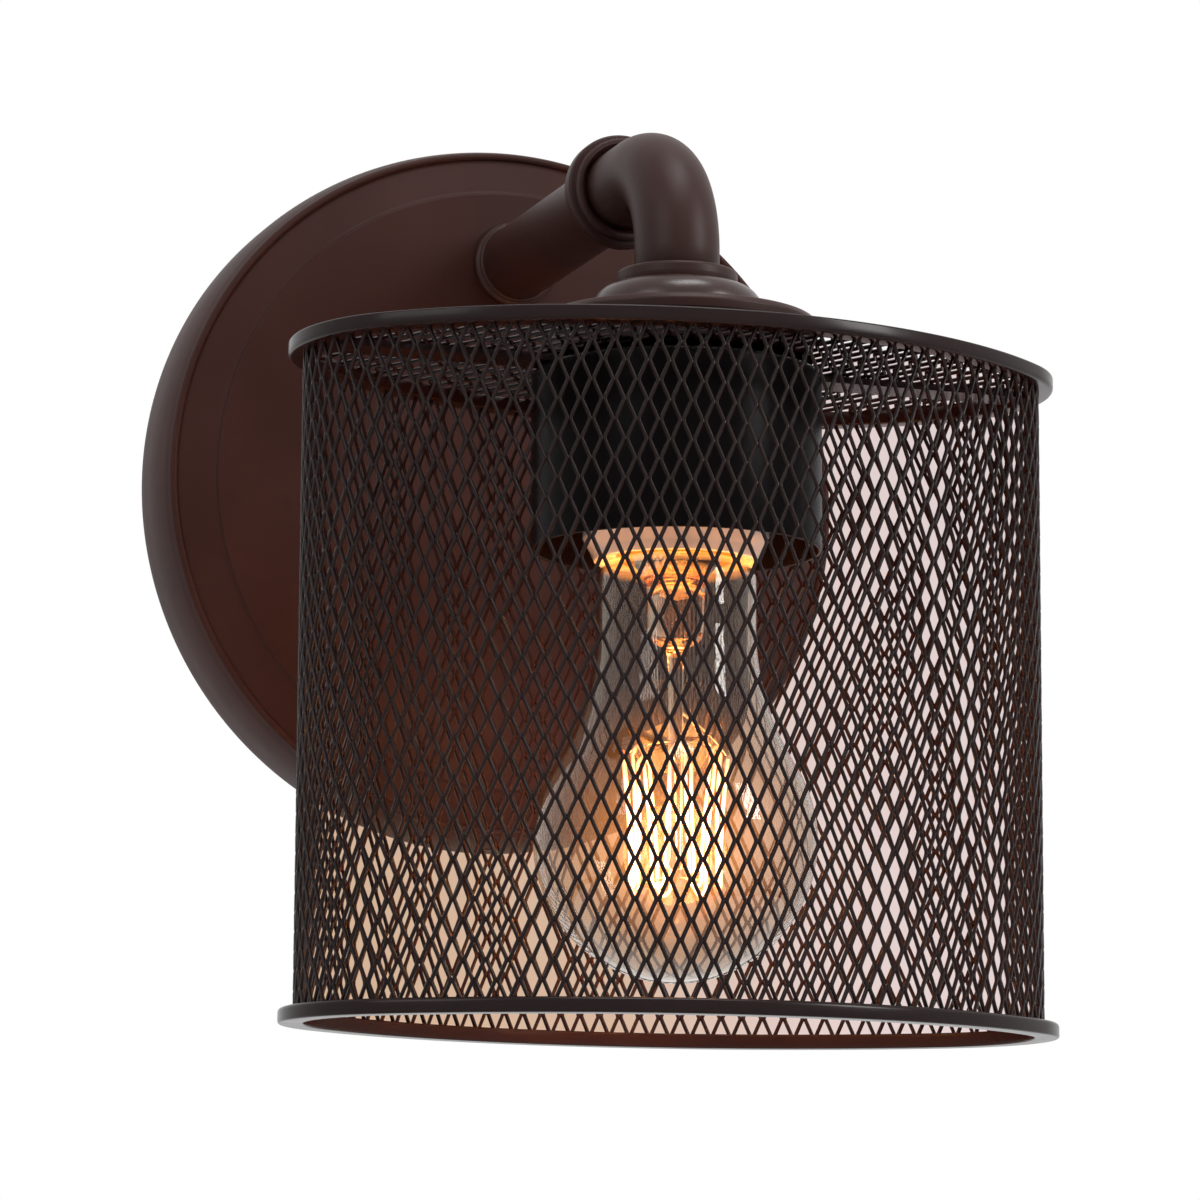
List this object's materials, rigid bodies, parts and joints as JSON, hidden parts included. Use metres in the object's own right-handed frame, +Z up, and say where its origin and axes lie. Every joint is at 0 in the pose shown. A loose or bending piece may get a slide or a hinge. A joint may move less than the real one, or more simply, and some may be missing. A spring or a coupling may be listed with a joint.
{
  "type": "cage wall light",
  "caption": "Wall light: a round backplate carries a short pipe arm that turns down into an oval expanded-metal cage, open below, round a bare clear bulb in a black cup.",
  "frame": {"origin": "centre of the backplate on the wall plane", "axes": "+Z up, +Y into the wall, so the light reaches out along -Y, +X to the right as seen from the room"},
  "size_m": [0.172, 0.191, 0.2223],
  "materials": {
    "bronze_paint": "satin dark bronze paint",
    "cage_paint": "satin black bronze paint with worn strand edges",
    "cup_paint": "semi-matt black paint",
    "zinc_steel": "zinc plated",
    "green_steel": "green plated screw",
    "brass": "plain pressed brass",
    "porcelain": "glazed white porcelain",
    "black_insulation": "black insulated wire",
    "white_insulation": "white insulated wire",
    "copper": "bare tinned copper strands",
    "bulb_glass": "clear glass with a slight amber tint",
    "stem_glass": "clear glass stem",
    "black_glass": "black glass insulator",
    "solder": "tinned contact",
    "support_wire": "drawn wire",
    "filament": "glowing filament"
  },
  "bodies": {
    "fixture": {"backplate": "bronze_paint", "crossbar": "zinc_steel", "backplate_screws": "bronze_paint", "ground_screw": "green_steel", "arm_flange": "bronze_paint", "arm_tube": "bronze_paint", "arm_nipple": "zinc_steel", "arm_lock_washer": "zinc_steel", "arm_lock_nut": "zinc_steel", "arm_coupling": "zinc_steel", "arm_collar": "bronze_paint", "arm_elbow": "bronze_paint", "holder_ring": "bronze_paint", "holder_dome": "bronze_paint", "fitter_cap": "bronze_paint", "stem_nipple": "zinc_steel", "stem_lock_nut": "zinc_steel", "cage_mesh": "cage_paint", "cage_top_mesh": "cage_paint", "cage_strap": "cage_paint", "cage_top_rim": "cage_paint", "cage_bottom_rim": "cage_paint", "socket_cup": "cup_paint", "socket_bracket": "zinc_steel", "socket_bracket_screws": "zinc_steel", "socket_porcelain": "porcelain", "socket_screw_shell": "brass", "socket_contact": "brass", "socket_terminals": "brass", "lead_live": "black_insulation", "lead_neutral": "white_insulation", "lead_tips": "copper"},
    "bulb": {"bulb_glass": "bulb_glass", "bulb_screw_cap": "brass", "bulb_insulator": "black_glass", "bulb_contact": "solder", "bulb_stem": "stem_glass", "bulb_support_wires": "support_wire", "bulb_filament": "filament"}
  },
  "joints": [
    {"name": "bulb_draw", "type": "slide", "parent": "fixture", "child": "bulb", "axis": [0, 0, -1], "range_m": [0, 0.13]}
  ]
}
